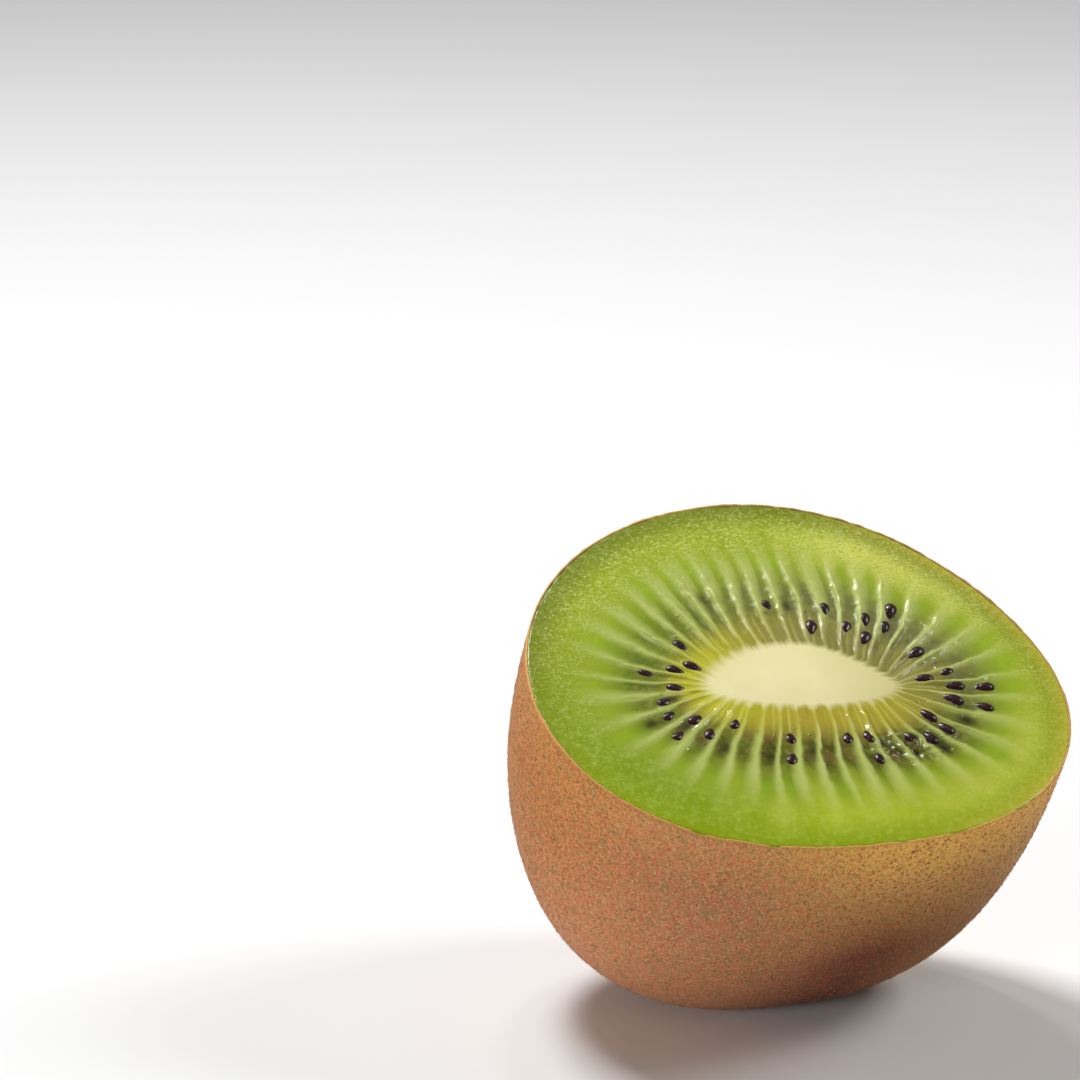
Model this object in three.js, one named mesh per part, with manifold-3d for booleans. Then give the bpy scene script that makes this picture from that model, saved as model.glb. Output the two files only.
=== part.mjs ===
// Half of a green kiwi fruit, cut across its middle and lying the way it settles on a table, with the
// cut leaning towards the front. Sizes are in millimetres, +Z is up and the origin is on the table.
//
// The fruit is shaped in a frame of its own: the cut is the plane z = 0, the stem end points down, and
// the wide way of the oval section runs along x. It is then rolled, tilted and set down on the table.
// Three tissues show at the cut and run down through the fruit: the outer flesh with its skin, the
// inner flesh with its rays of seed chambers, and the pale core.
import * as THREE from "three";
import { mergeVertices } from "three/addons/utils/BufferGeometryUtils.js";
import Module from "manifold-3d";

const wasm = await Module();
wasm.setup();

// How the half lies: tipped towards the front, turned a little about its own axis, and resting on a
// small flat that its own weight has pressed.
const TILT = THREE.MathUtils.degToRad(29.35);
const ROLL = THREE.MathUtils.degToRad(-7.94);
const FLAT_DEPTH = 0.5;

// The oval of the cut. The unevenness terms are shares of the radius that make it fuller at the front
// than at the back, as the real fruit is.
const HALF_WIDTH = 27.0;
const HALF_THICKNESS = 24.05;
const FRONT_SHIFT = 0.044;
const FRONT_FULLNESS = 0.034;
const FULLNESS_TURN = THREE.MathUtils.degToRad(3.3);
const CORNERS = 0.0106;
const CORNERS_TURN = THREE.MathUtils.degToRad(11.4);

// The dome below the cut: its length, how late it starts to draw in, how blunt it ends, and how far its
// axis drifts sideways for each millimetre of depth.
const LENGTH = 35.65;
const SHOULDER = 2.44;
const BLUNTNESS = 2.73;
const DRIFT_X = -0.025;
const DRIFT_Y = -0.024;
const SKIN_SWELL = 0.22;
const SWELL_LOBES = 3;
const SWELL_TWIST = 4;

// The stem scar at the end of the dome: a raised ring of dry skin round a pit.
const SCAR_RING_RADIUS = 3.3;
const SCAR_RING_WIDTH = 1.0;
const SCAR_RING_HEIGHT = 0.8;
const SCAR_PIT_WIDTH = 1.7;
const SCAR_PIT_DEPTH = 1.1;
const SCAR_STATIONS = [5.4, 4.1, 3.3, 2.4, 1.3];

// The pale core: a lens in section, higher towards the back than towards the front.
const CORE_CENTRE_X = 1.0;
const CORE_CENTRE_Y = -2.1;
const CORE_HALF_LENGTH = 9.7;
const CORE_BACK = 5.8;
const CORE_BACK_POWER = 1.5;
const CORE_FRONT = 2.9;
const CORE_FRONT_POWER = 0.9;
const CORE_DEPTH = 25;
const CORE_CROWN = 0.2;

// The inner flesh: seed chambers between thin walls that run out from the core like rays.
const CHAMBERS = 40;
const CHAMBER_LENGTH = 11.7;
const TIP_SCALLOP = 0.35;
const HOLLOW = 0.35;
const INNER_DEPTH = 29;
const RAY_CROWDING = 0.05;
const RAY_FAN = 0.15;
const TISSUE_DROOP = 2.2;

// Each tissue keeps this clear of the next.
const GAP = 0.3;

// A seed is a flattened drop, its point towards the core.
const SEED_LENGTH = 2.15;
const SEED_WIDTH = 1.25;
const SEED_THICKNESS = 0.9;
const SEED_SINK = 0.12;
const SEED_TAPER = 0.3;

// How the seeds are strewn: the range of the first one's distance from the core, the least step to a
// second one, the shares of chambers with none and with two, the side where more are empty, and how far
// a seed strays from the middle of its chamber, from its heading in radians and from its full size.
const SEED_NEAREST = 2.2;
const SEED_FURTHEST = 6.4;
const SEED_STEP = 2.2;
const EMPTY_CHAMBERS = 0.12;
const SECOND_SEEDS = 0.35;
const BARE_SIDE = THREE.MathUtils.degToRad(118);
const BARE_SIDE_EMPTY = 0.7;
const BARE_SIDE_POWER = 3;
const STRAY_SIDEWAYS = 0.1;
const STRAY_HEADING = 0.25;
const STRAY_SIZE = 0.12;
const SEED_DRAW = 301344;

// How finely the surfaces are divided: two sides for each chamber, one on its wall and one in its middle.
const SIDES = CHAMBERS * 2;
const DOME_STATIONS = 12;
const DEPTH_STATIONS = 5;
const HOLLOW_STATIONS = 6;
const DOME_END = 0.83;

const flesh = (color, roughness) =>
  new THREE.MeshStandardMaterial({ color, roughness, metalness: 0 });
const SKIN_AND_OUTER_FLESH = flesh(0x9a6f42, 0.85);
const INNER_FLESH = flesh(0x86a52c, 0.3);
const CORE_FLESH = flesh(0xe9e2ab, 0.45);

// The radius of the cut's outline in the direction of an angle.
function outlineRadius(angle) {
  const oval = 1 / Math.hypot(Math.cos(angle) / HALF_WIDTH, Math.sin(angle) / HALF_THICKNESS);
  const uneven =
    FRONT_SHIFT * Math.sin(angle) +
    FRONT_FULLNESS * Math.sin(3 * (angle - FULLNESS_TURN)) +
    CORNERS * Math.cos(4 * (angle - CORNERS_TURN));
  return oval * (1 - uneven);
}

// The point of the cut's outline where a ray ends.
function outlinePoint(angle) {
  return new THREE.Vector2(Math.cos(angle), Math.sin(angle)).multiplyScalar(outlineRadius(angle));
}

// The edge of the core where a ray starts.
function corePoint(angle) {
  const across = Math.sin(angle);
  const reach = across > 0
    ? CORE_BACK * across ** CORE_BACK_POWER
    : -CORE_FRONT * (-across) ** CORE_FRONT_POWER;
  return new THREE.Vector2(
    CORE_CENTRE_X + CORE_HALF_LENGTH * Math.cos(angle),
    CORE_CENTRE_Y + reach,
  );
}

// A ray of the cut, numbered in chambers: whole numbers are walls and halves are chamber middles. Near
// the core's flat sides the rays run almost side by side, and at its tips they fan out.
function ray(chamber) {
  const even = (2 * Math.PI * chamber) / CHAMBERS;
  const start = even - RAY_CROWDING * Math.sin(2 * even);
  const foot = corePoint(start);
  const end = outlinePoint(start + RAY_FAN * Math.sin(2 * start));
  return { foot, end, length: foot.distanceTo(end) };
}

// A point on a ray, at a distance from the core's edge, at a height above the plane of the cut.
function onRay(chamber, distance, height = 0) {
  const { foot, end, length } = ray(chamber);
  const point = foot.lerp(end, distance / length);
  return new THREE.Vector3(point.x, point.y, height);
}

// The length of a chamber: its wall stops a little short of its rounded tip.
function chamberLength(chamber) {
  return CHAMBER_LENGTH - TIP_SCALLOP * Math.cos(2 * Math.PI * chamber);
}

// How far the middle of a chamber lies below its walls, from the core's edge to the tip.
function hollow(chamber, share) {
  return (HOLLOW * Math.sin(Math.PI * share) * (1 - Math.cos(2 * Math.PI * chamber))) / 2;
}

// How much a tissue has drawn in at a share of its own depth.
function drawnIn(share) {
  return Math.max(0, 1 - share ** TISSUE_DROOP) ** (1 / TISSUE_DROOP);
}

// A point of the skin, at a turn from 0 at the cut to 1 at the end of the dome. The scar is added
// along the axis, and a slow swell keeps the dome from looking turned on a lathe.
function skinPoint(chamber, turn) {
  const quarter = (turn * Math.PI) / 2;
  const depth = LENGTH * Math.sin(quarter) ** (2 / SHOULDER);
  const edge = ray(chamber).end;
  const angle = edge.angle();
  const lobes = Math.sin(SWELL_LOBES * angle + SWELL_TWIST * turn);
  const swell = SKIN_SWELL * lobes * Math.sin(Math.PI * turn);
  const reach = edge.length() * Math.cos(quarter) ** (2 / BLUNTNESS);
  const scar =
    SCAR_RING_HEIGHT * Math.exp(-(((reach - SCAR_RING_RADIUS) / SCAR_RING_WIDTH) ** 2)) -
    SCAR_PIT_DEPTH * Math.exp(-((reach / SCAR_PIT_WIDTH) ** 2));
  edge.setLength(Math.max(reach + swell, 1e-6));
  return new THREE.Vector3(edge.x + DRIFT_X * depth, edge.y + DRIFT_Y * depth, -depth - scar);
}

// The turn at which the dome has drawn in to a radius.
function turnAtRadius(radius) {
  const mean = (HALF_WIDTH + HALF_THICKNESS) / 2;
  return (2 / Math.PI) * Math.acos((radius / mean) ** (BLUNTNESS / 2));
}

// The shares from 0 to 1, leaving out 0 itself.
function shares(count) {
  return Array.from({ length: count }, (_, i) => (i + 1) / count);
}

// A closed body made like a turned one, but with each ring of its profile drawn by a function of the
// chamber that it stands at. The profile runs up the outside and down any pocket, and the first and the
// last ring are single points.
function turned(rings) {
  const last = rings.length - 1;
  const profile = rings.map((_, i) => new THREE.Vector2(i === 0 || i === last ? 0 : 1, i));
  const geometry = new THREE.LatheGeometry(profile, SIDES);
  const position = geometry.getAttribute("position");
  for (let side = 0; side <= SIDES; side++) {
    const chamber = (side % SIDES) / 2;
    rings.forEach((ring, i) => {
      const { x, y, z } = ring(chamber);
      position.setXYZ(side * rings.length + i, x, y, z);
    });
  }
  return geometry;
}

// The rings of a tissue's side wall, from its edge at the cut down to the point where it ends.
function wallRings(edge, depth, count) {
  return shares(count).map((step) => {
    const share = Math.sin((step * Math.PI) / 2);
    return (chamber) => edge(chamber).multiplyScalar(drawnIn(share)).setZ(-depth * share);
  });
}

// A manifold solid from a geometry, and a geometry from a solid.
function solidOf(geometry) {
  const bare = geometry.clone();
  bare.deleteAttribute("normal");
  bare.deleteAttribute("uv");
  const merged = mergeVertices(bare, 1e-4);
  const corners = merged.index.array;
  const triVerts = [];
  for (let i = 0; i < corners.length; i += 3) {
    const [a, b, c] = corners.slice(i, i + 3);
    if (a !== b && b !== c && c !== a) triVerts.push(a, b, c);
  }
  const vertProperties = merged.getAttribute("position").array;
  return new wasm.Manifold(
    new wasm.Mesh({ numProp: 3, vertProperties, triVerts: new Uint32Array(triVerts) }),
  );
}

function geometryOf(solid) {
  const { vertProperties, triVerts } = solid.getMesh();
  const geometry = new THREE.BufferGeometry();
  geometry.setAttribute("position", new THREE.BufferAttribute(vertProperties, 3));
  geometry.setIndex(new THREE.BufferAttribute(triVerts, 1));
  geometry.computeVertexNormals();
  return geometry;
}

// The outer flesh and its skin: a thick bowl, from the stem scar up the dome, over the cut and down the
// wall of its pocket.
function outerFlesh() {
  const dome = shares(DOME_STATIONS).map((share) => share * DOME_END);
  const scar = SCAR_STATIONS.map(turnAtRadius);
  const skin = [0, ...dome, ...scar, 1].map((turn) => (chamber) => skinPoint(chamber, turn));
  const halfway = (chamber) => {
    const inner = chamberLength(chamber) + GAP;
    return onRay(chamber, (inner + ray(chamber).length) / 2);
  };
  const pocketEdge = (chamber) => onRay(chamber, chamberLength(chamber) + GAP);
  const pocket = wallRings(pocketEdge, INNER_DEPTH + GAP, DEPTH_STATIONS);
  return solidOf(turned([...skin.reverse(), halfway, pocketEdge, ...pocket]));
}

// The inner flesh: up its sides, over its walls and hollows, and down round the core.
function innerFlesh() {
  const tip = (chamber) => onRay(chamber, chamberLength(chamber));
  const top = [0, ...shares(HOLLOW_STATIONS)].map((share) => (chamber) => {
    const distance = GAP + share * (chamberLength(chamber) - GAP);
    return onRay(chamber, distance, -hollow(chamber, share));
  });
  const coreSide = (chamber) => onRay(chamber, GAP);
  const outside = wallRings(tip, INNER_DEPTH, DEPTH_STATIONS).reverse();
  const inside = wallRings(coreSide, CORE_DEPTH + GAP, DEPTH_STATIONS);
  return solidOf(turned([...outside, ...top.reverse(), ...inside]));
}

// The core, its cut end standing a touch proud in the middle.
function core() {
  const edge = (chamber) => onRay(chamber, 0);
  const crown = (share) => (chamber) => {
    const centre = new THREE.Vector3(CORE_CENTRE_X, CORE_CENTRE_Y, 0);
    return centre.lerp(edge(chamber), share).setZ(CORE_CROWN * (1 - share ** 2));
  };
  const outside = wallRings(edge, CORE_DEPTH, DEPTH_STATIONS).reverse();
  return solidOf(turned([...outside, edge, crown(0.5), crown(0)]));
}

// Minimal standard random numbers, from 0 to 1, the same on every run.
const MULTIPLIER = 16807;
const MODULUS = 2 ** 31 - 1;
let drawn = SEED_DRAW;
function draw() {
  drawn = (drawn * MULTIPLIER) % MODULUS;
  return drawn / MODULUS;
}

function stray(range) {
  return range * (2 * draw() - 1);
}

// Where the seeds lie: none, one or two to a chamber, each at its own distance from the core, a little
// off the middle of the chamber, turned a little and of its own size. Fewer show on one side.
function seedPlaces() {
  const places = [];
  for (let k = 0; k < CHAMBERS; k++) {
    const angle = (2 * Math.PI * (k + 0.5)) / CHAMBERS;
    const towardsBare = Math.max(0, Math.cos(angle - BARE_SIDE)) ** BARE_SIDE_POWER;
    const empty = draw() < EMPTY_CHAMBERS + BARE_SIDE_EMPTY * towardsBare;
    const second = draw() < SECOND_SEEDS;
    const first = SEED_NEAREST + (SEED_FURTHEST - SEED_NEAREST) * draw();
    const distances = second ? [first, first + SEED_STEP + draw()] : [first];
    for (const distance of distances) {
      const place = {
        chamber: k + 0.5 + stray(STRAY_SIDEWAYS),
        distance,
        turn: stray(STRAY_HEADING),
        size: 1 + stray(STRAY_SIZE),
      };
      if (!empty) places.push(place);
    }
  }
  return places;
}

// One seed in its place, with its point towards the core.
function seed({ chamber, distance, turn, size }) {
  const drop = new THREE.SphereGeometry(0.5, 5, 4).rotateZ(-Math.PI / 2);
  const position = drop.getAttribute("position");
  for (let i = 0; i < position.count; i++) {
    const along = position.getX(i) * 2;
    const girth = 1 + SEED_TAPER * along;
    position.setXYZ(i, position.getX(i), position.getY(i) * girth, position.getZ(i) * girth);
  }
  const { foot, end } = ray(chamber);
  const heading = end.sub(foot).angle() + turn;
  const at = onRay(chamber, distance, -SEED_SINK - hollow(chamber, distance / CHAMBER_LENGTH) / 2);
  drop.scale(SEED_LENGTH * size, SEED_WIDTH * size, SEED_THICKNESS * size);
  drop.rotateZ(heading).translate(at.x, at.y, at.z);
  return solidOf(drop);
}

// The half as it lies. Everything under the table's top is pressed flat, and the whole is moved so that
// the middle of its bounding box stands over the origin.
const lying = new THREE.Matrix4().makeRotationFromEuler(new THREE.Euler(TILT, 0, ROLL, "XYZ"));
const wholeSkin = geometryOf(outerFlesh()).applyMatrix4(lying);
wholeSkin.computeBoundingBox();
const reach = wholeSkin.boundingBox;
const table = reach.min.z + FLAT_DEPTH;
const half = new THREE.Group();
half.rotation.set(TILT, 0, ROLL, "XYZ");
half.position.set(-(reach.min.x + reach.max.x) / 2, -(reach.min.y + reach.max.y) / 2, -table);

const slab = new THREE.BoxGeometry(4 * HALF_WIDTH, 4 * HALF_WIDTH, LENGTH);
slab.translate(0, 0, table - LENGTH / 2).applyMatrix4(lying.clone().invert());

function add(name, solid, material) {
  const mesh = new THREE.Mesh(geometryOf(solid), material);
  mesh.name = name;
  half.add(mesh);
}

add("outer_flesh", outerFlesh().subtract(solidOf(slab)), SKIN_AND_OUTER_FLESH);
add("inner_flesh", seedPlaces().reduce((body, place) => body.add(seed(place)), innerFlesh()), INNER_FLESH);
add("core", core(), CORE_FLESH);

const kiwiHalf = new THREE.Group();
kiwiHalf.add(half);
export default kiwiHalf;
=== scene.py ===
# Half of a green kiwi fruit, fresh from the knife, lying on its skin with the wet cut towards the viewer.
# Shapes are worked out in millimetres in the fruit's own frame, where the cut is the plane z = 0 and the
# stem end points down. One matrix then lays them on the table, in metres.
import math

import bmesh
import bpy
import numpy as np
from mathutils import Matrix, Vector, noise


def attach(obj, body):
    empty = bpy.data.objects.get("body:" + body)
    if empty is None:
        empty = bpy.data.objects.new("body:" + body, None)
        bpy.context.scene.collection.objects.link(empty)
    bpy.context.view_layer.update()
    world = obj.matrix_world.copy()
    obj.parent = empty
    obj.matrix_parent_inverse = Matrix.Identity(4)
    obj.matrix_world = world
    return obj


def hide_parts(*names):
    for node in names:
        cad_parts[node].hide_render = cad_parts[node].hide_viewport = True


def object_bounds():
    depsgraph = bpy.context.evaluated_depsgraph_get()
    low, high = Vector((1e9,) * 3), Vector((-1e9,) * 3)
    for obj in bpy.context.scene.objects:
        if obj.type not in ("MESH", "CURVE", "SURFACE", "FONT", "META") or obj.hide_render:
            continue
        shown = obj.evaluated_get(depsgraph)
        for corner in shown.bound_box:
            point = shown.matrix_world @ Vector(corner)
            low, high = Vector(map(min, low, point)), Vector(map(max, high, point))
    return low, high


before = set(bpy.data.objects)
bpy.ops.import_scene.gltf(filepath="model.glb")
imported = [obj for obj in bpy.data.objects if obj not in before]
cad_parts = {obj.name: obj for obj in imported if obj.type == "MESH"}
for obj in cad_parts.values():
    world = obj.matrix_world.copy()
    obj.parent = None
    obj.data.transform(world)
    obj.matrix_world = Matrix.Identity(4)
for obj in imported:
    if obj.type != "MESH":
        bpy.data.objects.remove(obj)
cad_low, cad_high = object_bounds()


# Skin
# A thin dry leathery peel over the whole fruit, cut through where the knife went. Its section is an oval
# with a fuller front, and below the cut it draws in to a blunt end with the scar of the stem. It lies
# tipped to the front, and its own weight presses a small flat on it.
HALF_WIDTH = 27.0
HALF_THICKNESS = 24.05
FRONT_SHIFT = 0.044
FRONT_FULLNESS = 0.034
FULLNESS_TURN = math.radians(3.3)
CORNERS = 0.0106
CORNERS_TURN = math.radians(11.4)
LENGTH = 35.65
SHOULDER = 2.44
BLUNTNESS = 2.73
DRIFT = np.array([-0.025, -0.024])
SKIN_SWELL = 0.22
SWELL_LOBES = 3
SWELL_TWIST = 4
SCAR_RING_RADIUS = 3.3
SCAR_RING_WIDTH = 1.0
SCAR_RING_HEIGHT = 0.8
SCAR_PIT_WIDTH = 1.7
SCAR_PIT_DEPTH = 1.1
TILT = math.radians(29.35)
ROLL = math.radians(-7.94)

SKIN_SIDES = 560
SKIN_OUTER_ROWS = 140
SKIN_LINING_ROWS = 9
SKIN_THICKNESS = 0.18
SKIN_LUMPS = 0.06
SKIN_LUMP_SIZE = 1.2
RIM_TATTER = 0.2
RIM_TATTER_DEPTH = 0.3


def outline_radius(angle):
    oval = 1 / np.hypot(np.cos(angle) / HALF_WIDTH, np.sin(angle) / HALF_THICKNESS)
    uneven = FRONT_SHIFT * np.sin(angle)
    uneven += FRONT_FULLNESS * np.sin(3 * (angle - FULLNESS_TURN))
    uneven += CORNERS * np.cos(4 * (angle - CORNERS_TURN))
    return oval * (1 - uneven)


def dome_point(angle, turn, inset):
    """A point that lies under the skin by the inset, at a turn from 0 at the cut to 1 at the stem end."""
    quarter = turn * math.pi / 2
    edge = outline_radius(angle)
    depth = LENGTH * np.sin(quarter) ** (2 / SHOULDER)
    reach = edge * np.maximum(np.cos(quarter), 0) ** (2 / BLUNTNESS)
    ring = SCAR_RING_HEIGHT * np.exp(-((reach - SCAR_RING_RADIUS) / SCAR_RING_WIDTH) ** 2)
    pit = SCAR_PIT_DEPTH * np.exp(-(reach / SCAR_PIT_WIDTH) ** 2)
    lobes = np.sin(SWELL_LOBES * angle + SWELL_TWIST * turn)
    reach = np.maximum(reach + SKIN_SWELL * lobes * np.sin(math.pi * turn), 0) * (1 - inset / edge)
    across = reach * np.cos(angle) + DRIFT[0] * depth
    back = reach * np.sin(angle) + DRIFT[1] * depth
    return np.stack([across, back, -(depth + ring - pit) * (1 - inset / LENGTH)], axis=-1)


# The solids' box, set against the same hull here, tells where the middle of the cut is.
lying = Matrix.Rotation(TILT, 3, "X") @ Matrix.Rotation(ROLL, 3, "Z")
all_round, all_down = np.meshgrid(np.linspace(0, 2 * math.pi, 1200), np.linspace(0, 1, 300))
hull = dome_point(all_round.ravel(), all_down.ravel(), 0) @ np.array(lying).T
middle = (cad_low + cad_high) / 2
cut_centre = Vector((
    middle.x - (hull[:, 0].min() + hull[:, 0].max()) / 2000,
    middle.y - (hull[:, 1].min() + hull[:, 1].max()) / 2000,
    cad_high.z - hull[:, 2].max() / 1000,
))
lay_down = Matrix.Translation(cut_centre) @ lying.to_4x4() @ Matrix.Scale(0.001, 4)


def noise_at(points, size, seed=0.0):
    """Smooth noise from -1 to 1 with lumps of this size, at points in millimetres."""
    apart = Vector((seed, seed, seed))
    return np.array([noise.noise(Vector(point) / size + apart) for point in points])


def smooth(low, high, value):
    share = np.clip((value - low) / (high - low), 0, 1)
    return share * share * (3 - 2 * share)


def flat_grid(sides, rows):
    """A grid to roll round the fruit, and for each vertex its share of the way round and its row."""
    bm = bmesh.new()
    bmesh.ops.create_grid(bm, x_segments=sides, y_segments=rows - 1, size=0.5)
    mesh = bpy.data.meshes.new("grid")
    bm.to_mesh(mesh)
    bm.free()
    corners = np.empty(len(mesh.vertices) * 3)
    mesh.vertices.foreach_get("co", corners)
    corners = corners.reshape(-1, 3) + 0.5
    return mesh, corners[:, 0], np.round(corners[:, 1] * (rows - 1)).astype(int)


def rolled_up(name, mesh, points, marks, lowest):
    """The grid as an object on the table: its vertices at the points, its seam and poles closed."""
    mesh.vertices.foreach_set("co", points.ravel())
    for mark, values in marks.items():
        if values.ndim == 1:
            mesh.attributes.new(mark, "FLOAT", "POINT").data.foreach_set("value", values)
        else:
            mesh.attributes.new(mark, "FLOAT_VECTOR", "POINT").data.foreach_set("vector", values.ravel())
    bm = bmesh.new()
    bm.from_mesh(mesh)
    bmesh.ops.remove_doubles(bm, verts=bm.verts, dist=1e-5)
    bmesh.ops.recalc_face_normals(bm, faces=bm.faces)
    bmesh.ops.transform(bm, matrix=lay_down, verts=bm.verts)
    for vertex in bm.verts:
        vertex.co.z = max(vertex.co.z, lowest)
    bm.to_mesh(mesh)
    bm.free()
    mesh.name = name
    mesh.shade_smooth()
    rolled = bpy.data.objects.new(name, mesh)
    bpy.context.collection.objects.link(rolled)
    return rolled


def paint(hex_colour):
    """An sRGB hex colour as the linear colour that shaders take."""
    parts = [int(hex_colour[i:i + 2], 16) / 255 for i in (1, 3, 5)]
    return *(c / 12.92 if c <= 0.04045 else ((c + 0.055) / 1.055) ** 2.4 for c in parts), 1.0


def new_finish(name):
    """A new material, its node tree and its surface shader."""
    material = bpy.data.materials.new(name)
    material.use_nodes = True
    return material, material.node_tree, material.node_tree.nodes["Principled BSDF"]


def add(tree, kind, sockets, out=0, **settings):
    """Adds a node and returns an output. Sockets take values, or outputs to link to them."""
    made = tree.nodes.new("ShaderNode" + kind)
    for name, value in settings.items():
        setattr(made, name, value)
    for key, value in sockets.items():
        if isinstance(value, bpy.types.NodeSocket):
            tree.links.new(value, made.inputs[key])
        else:
            made.inputs[key].default_value = value
    return made.outputs[out]


mesh, round_share, row = flat_grid(SKIN_SIDES, SKIN_OUTER_ROWS + SKIN_LINING_ROWS)
angle = 2 * math.pi * round_share
outer = row < SKIN_OUTER_ROWS
turn = np.where(
    outer,
    1 - row / (SKIN_OUTER_ROWS - 1),
    (row - SKIN_OUTER_ROWS) / (SKIN_LINING_ROWS - 1),
)
bare = dome_point(angle, turn, 0.0)
lumps = SKIN_LUMPS * (noise_at(bare, SKIN_LUMP_SIZE) - 0.5) * smooth(0, 0.03, turn)
points = dome_point(angle, turn, np.where(outer, -lumps, SKIN_THICKNESS))
tatter = RIM_TATTER * (0.6 * noise_at(bare, 0.9, 5.0) + 0.6 * noise_at(bare, 3.0, 6.0) + 0.15)
points[:, 2] += tatter * np.exp(-np.maximum(-bare[:, 2], 0) / RIM_TATTER_DEPTH)
marks = {
    "below": -bare[:, 2],
    "ways": np.stack([np.cos(angle), np.sin(angle), turn], axis=-1),
}
skin = rolled_up("skin", mesh, points, marks, 0.0)

# Kiwi peel: a dull corky layer, dry and matt. It is tan, mottled with rusty and grey-green patches under
# half a millimetre wide, and to the right with dark dots where hairs stood. Just under the cut it turns
# yellow, and deep down at the front right a dark reddish brown, which is partly a darker stem end and
# partly painted shade on the underside, where the fruit nears the table.
kiwi_peel, tree, surface = new_finish("kiwi_peel")
place = add(tree, "TexCoord", {}, out="Object")
below = add(tree, "Attribute", {}, out="Fac", attribute_name="below")
ways_round = add(tree, "Attribute", {}, out="Vector", attribute_name="ways")
rightwards = add(tree, "SeparateXYZ", {0: ways_round})
backwards = add(tree, "SeparateXYZ", {0: ways_round}, out=1)
in_front = add(tree, "MapRange",
               {"Value": backwards, "From Min": 0.2, "From Max": -0.6},
               interpolation_type="SMOOTHSTEP")
right = add(tree, "MapRange",
            {"Value": rightwards, "From Min": -0.5, "From Max": 0.4},
            interpolation_type="SMOOTHSTEP")
left = add(tree, "MapRange",
           {"Value": rightwards, "From Min": -0.6, "From Max": -1.0},
           interpolation_type="SMOOTHSTEP")
front_right = add(tree, "Math", {0: right, 1: in_front}, operation="MULTIPLY")
tan = add(tree, "Mix", {0: right, 6: paint("#A26E48"), 7: paint("#C49650")}, out=2, data_type="RGBA")
tan = add(tree, "Mix", {0: left, 6: tan, 7: paint("#BC7A3A")}, out=2, data_type="RGBA")
under_rim = add(tree, "MapRange",
                {"Value": below, "From Min": 0.3, "From Max": 8.0, "To Min": 1.0, "To Max": 0.0},
                interpolation_type="SMOOTHSTEP")
yellowing = add(tree, "MapRange", {"Value": front_right, "To Min": 0.15, "To Max": 0.85})
under_rim = add(tree, "Math", {0: under_rim, 1: yellowing}, operation="MULTIPLY")
tan = add(tree, "Mix", {0: under_rim, 6: tan, 7: paint("#E8B250")}, out=2, data_type="RGBA")
# Painted shade: deep at the front right the peel darkens to red brown, partly standing in for shade below.
deeper = add(tree, "MapRange", {"Value": front_right, "To Min": 1.0, "To Max": 1.6})
deeper = add(tree, "Math", {0: below, 1: deeper}, operation="MULTIPLY")
deep_down_with_painted_shade = add(tree, "MapRange", {"Value": deeper, "From Min": 8.0, "From Max": 26.5})
# The painted shade fades towards the right edge of the fruit.
far_right = add(tree, "MapRange",
                {"Value": rightwards, "From Min": 0.2, "From Max": 0.95, "To Min": 1.0, "To Max": 0.3},
                interpolation_type="SMOOTHSTEP")
deep_down_with_painted_shade = add(tree, "Math", {0: deep_down_with_painted_shade, 1: far_right}, operation="MULTIPLY")
red_brown_painted_shade = paint("#58160A")
stem_end_and_painted_shade = add(tree, "Mix", {0: front_right, 6: paint("#C4885E"), 7: red_brown_painted_shade}, out=2, data_type="RGBA")
tan = add(tree, "Mix", {0: deep_down_with_painted_shade, 6: tan, 7: stem_end_and_painted_shade}, out=2, data_type="RGBA")
mottle = add(tree, "TexNoise", {"Vector": place, "Scale": 1 / 0.0007, "Detail": 2.0, "Roughness": 0.6})
rust = add(tree, "MapRange", {"Value": mottle, "From Min": 0.5, "From Max": 0.66, "To Max": 0.55})
less_right = add(tree, "MapRange", {"Value": right, "To Min": 1.0, "To Max": 0.8})
rust = add(tree, "Math", {0: rust, 1: less_right}, operation="MULTIPLY")
tan = add(tree, "Mix", {0: rust, 6: tan, 7: paint("#BC5A3A")}, out=2, data_type="RGBA")
grey = add(tree, "MapRange", {"Value": mottle, "From Min": 0.48, "From Max": 0.32, "To Max": 0.65})
least_right = add(tree, "MapRange", {"Value": right, "To Min": 1.0, "To Max": 0.3})
grey = add(tree, "Math", {0: grey, 1: least_right}, operation="MULTIPLY")
tan = add(tree, "Mix", {0: grey, 6: tan, 7: paint("#7E6E42")}, out=2, data_type="RGBA")
hair_roots = add(tree, "TexVoronoi", {"Vector": place, "Scale": 1 / 0.00056, "Randomness": 0.95})
dots = add(tree, "MapRange", {"Value": hair_roots, "From Min": 0.36, "From Max": 0.22, "To Max": 0.9})
only_right = add(tree, "MapRange", {"Value": right, "To Max": 0.9})
dots = add(tree, "Math", {0: dots, 1: only_right}, operation="MULTIPLY")
tan = add(tree, "Mix", {0: dots, 6: tan, 7: paint("#82421E")}, out=2, data_type="RGBA")
specks = add(tree, "TexNoise", {"Vector": place, "Scale": 1 / 0.00028, "Detail": 2.0, "Roughness": 0.6})
dark = add(tree, "MapRange", {"Value": specks, "From Min": 0.52, "From Max": 0.64, "To Max": 0.7})
more_left = add(tree, "MapRange", {"Value": left, "To Min": 0.5})
dark = add(tree, "Math", {0: dark, 1: more_left}, operation="MULTIPLY")
tan = add(tree, "Mix", {0: dark, 6: tan, 7: paint("#6A4022")}, out=2, data_type="RGBA")
bright = add(tree, "MapRange", {"Value": specks, "From Min": 0.46, "From Max": 0.34, "To Max": 0.45})
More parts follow.
